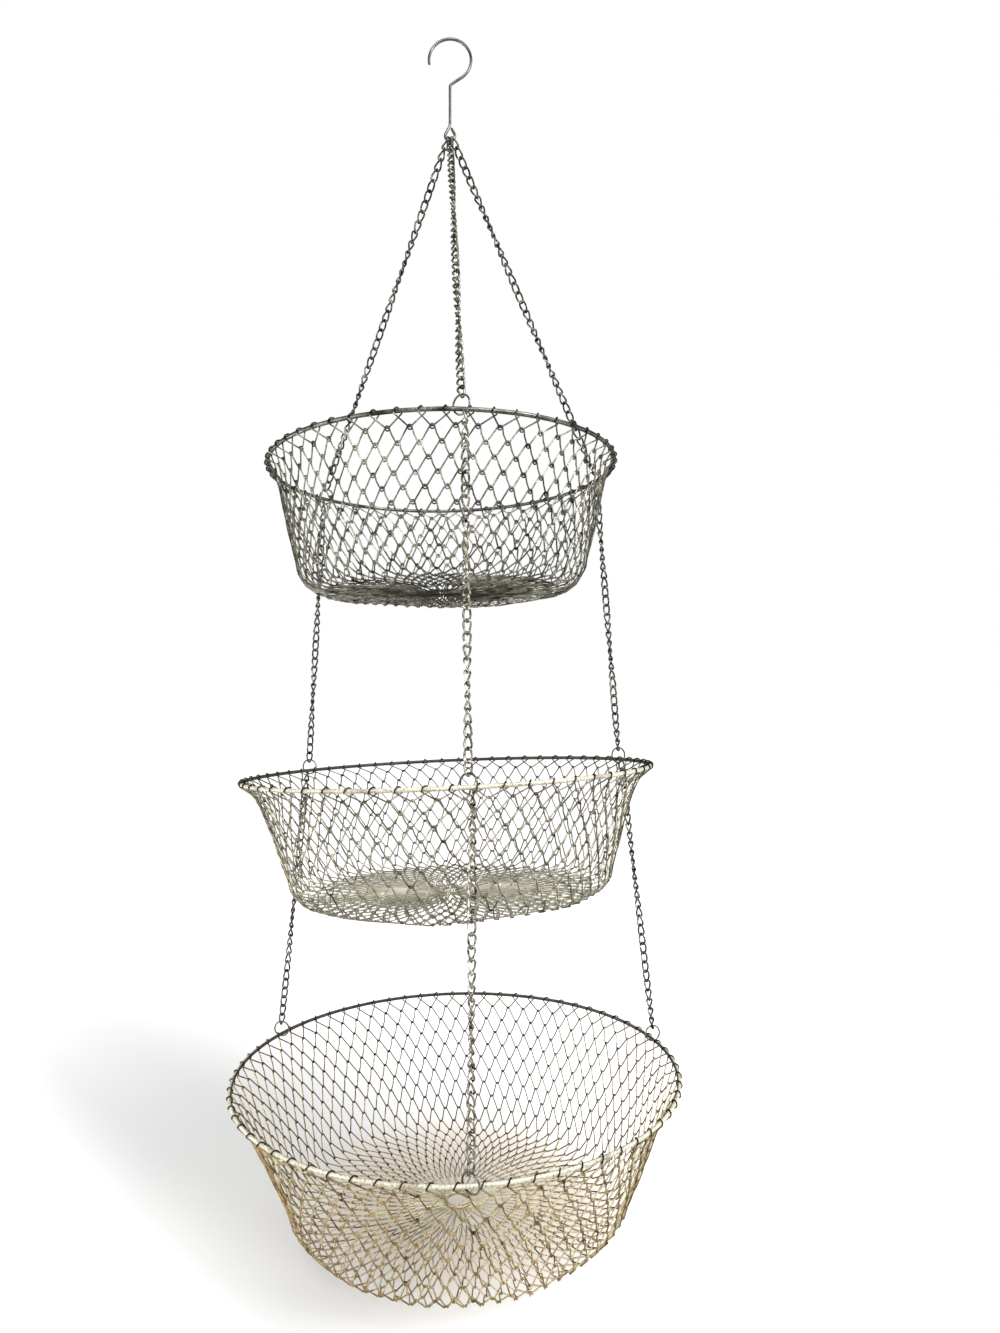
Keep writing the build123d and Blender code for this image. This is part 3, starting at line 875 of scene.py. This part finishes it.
white = bpy.data.materials.new("floor_white")
tree = empty_tree(white)
coords = node(tree, "ShaderNodeTexCoord")
reaches = []
for way, full, gone in shade_edges:
    along = node(tree, "ShaderNodeVectorMath", {
        0: coords.outputs["Object"], 1: (way[0] / sqrt(2), way[1] / sqrt(2), 0)}, operation="DOT_PRODUCT")
    reach = node(tree, "ShaderNodeMapRange", {
        "Value": along.outputs["Value"], "From Min": full, "From Max": gone})
    reaches.append(reach.outputs["Result"])
across = node(tree, "ShaderNodeMath", {0: reaches[0], 1: reaches[1]}, operation="ADD")
shade = node(tree, "ShaderNodeCombineXYZ", {0: across.outputs[0], 1: reaches[2], 2: reaches[3]})
away = node(tree, "ShaderNodeVectorMath", {0: shade.outputs[0]}, operation="LENGTH")
fade = node(tree, "ShaderNodeMapRange", {
    "Value": away.outputs["Value"], "To Min": darkest_shade}, interpolation_type="SMOOTHSTEP")
path = node(tree, "ShaderNodeLightPath")
shown = node(tree, "ShaderNodeMath", {
    0: fade.outputs["Result"], 1: path.outputs["Is Camera Ray"]}, operation="MULTIPLY")
# a painted warm glow under the basket, standing for light thrown on the floor by the plating
under = node(tree, "ShaderNodeVectorMath", {
    0: coords.outputs["Object"], 1: painted_bounce_centre}, operation="DISTANCE")
near = node(tree, "ShaderNodeMapRange", {
    "Value": under.outputs["Value"], "From Min": painted_bounce_radius, "From Max": painted_bounce_core_radius},
    interpolation_type="SMOOTHSTEP")
warm = node(tree, "ShaderNodeMix", {
    0: near.outputs["Result"], 6: (1, 1, 1, 1), 7: painted_bounce_colour}, data_type="RGBA")
glow = node(tree, "ShaderNodeEmission", {"Color": warm.outputs[2], "Strength": shown.outputs[0]})
paint = node(tree, "ShaderNodeBsdfDiffuse", {"Color": floor_grey})
both = node(tree, "ShaderNodeAddShader", {0: paint.outputs[0], 1: glow.outputs[0]})
node(tree, "ShaderNodeOutputMaterial", {0: both.outputs[0]})
bpy.ops.mesh.primitive_circle_add(
    vertices=96, radius=floor_radius, fill_type="NGON", location=(0, 0, floor_height)
)
floor = bpy.context.object
floor.name = "floor"
floor.data.materials.append(white)

# World: white to the camera, and to the basket a room that is brighter in front than behind
scene.world = bpy.data.worlds.new("studio")
tree = empty_tree(scene.world)
around = node(tree, "ShaderNodeTexCoord")
way = node(tree, "ShaderNodeSeparateXYZ", {0: around.outputs["Generated"]})
front = node(tree, "ShaderNodeMapRange", {
    "Value": way.outputs["Y"], "From Min": 0.7, "From Max": -0.9, "To Min": 0.10, "To Max": 0.6})
lit = node(tree, "ShaderNodeBackground", {"Color": (1.0, 0.99, 0.97, 1), "Strength": front.outputs["Result"]})
seen = node(tree, "ShaderNodeBackground", {"Color": (1, 1, 1, 1), "Strength": 1.0})
path = node(tree, "ShaderNodeLightPath")
mix = node(tree, "ShaderNodeMixShader", {
    0: path.outputs["Is Camera Ray"], 1: lit.outputs[0], 2: seen.outputs[0]})
node(tree, "ShaderNodeOutputWorld", {0: mix.outputs[0]})

# Soft lights: place, aim, width and height, and power
lights = {
    "left": ((-1.1, -0.6, -0.5), (0, 0, -0.6), (0.5, 0.9), 6),
    "low": ((-0.9, 0.3, -0.7), (0, -0.1, -0.78), (0.4, 0.25), 3),
    "right": ((0.95, 0.15, -0.62), (0, 0, -0.74), (0.35, 0.3), 2),
    "side": ((0.85, -0.75, 0.25), (0, 0, -0.7), (0.5, 0.5), 12),
    "front": ((0.15, -1.3, 0.35), (0, 0, -0.6), (0.5, 0.5), 8),
    "over": ((0.0, 0.2, 0.9), (0, 0, -0.5), (1.0, 1.0), 4),
}
for name, (place, aim, size, power) in lights.items():
    data = bpy.data.lights.new(name, "AREA")
    data.shape = "RECTANGLE"
    data.size, data.size_y = size
    data.energy = power
    light = bpy.data.objects.new(name, data)
    light.location = place
    light.rotation_euler = (Vector(aim) - Vector(place)).to_track_quat("-Z", "Y").to_euler()
    light.visible_camera = False
    scene.collection.objects.link(light)

# Camera, at the photograph's viewing angle and framing
focal_share = 0.845
sensor_width = 36
camera_data = bpy.data.cameras.new("camera")
camera_data.sensor_fit = "HORIZONTAL"
camera_data.sensor_width = sensor_width
camera_data.lens = focal_share * sensor_width
camera_data.shift_x = 0.05
camera_data.shift_y = 0.0485
camera_data.clip_start = 0.01
camera = bpy.data.objects.new("camera", camera_data)
camera.location = (0, -0.622, -0.4966)
camera.rotation_euler = (radians(90), 0, 0)
scene.collection.objects.link(camera)
scene.camera = camera
scene.view_settings.view_transform = "Standard"
scene.view_settings.look = "None"

bpy.context.view_layer.update()
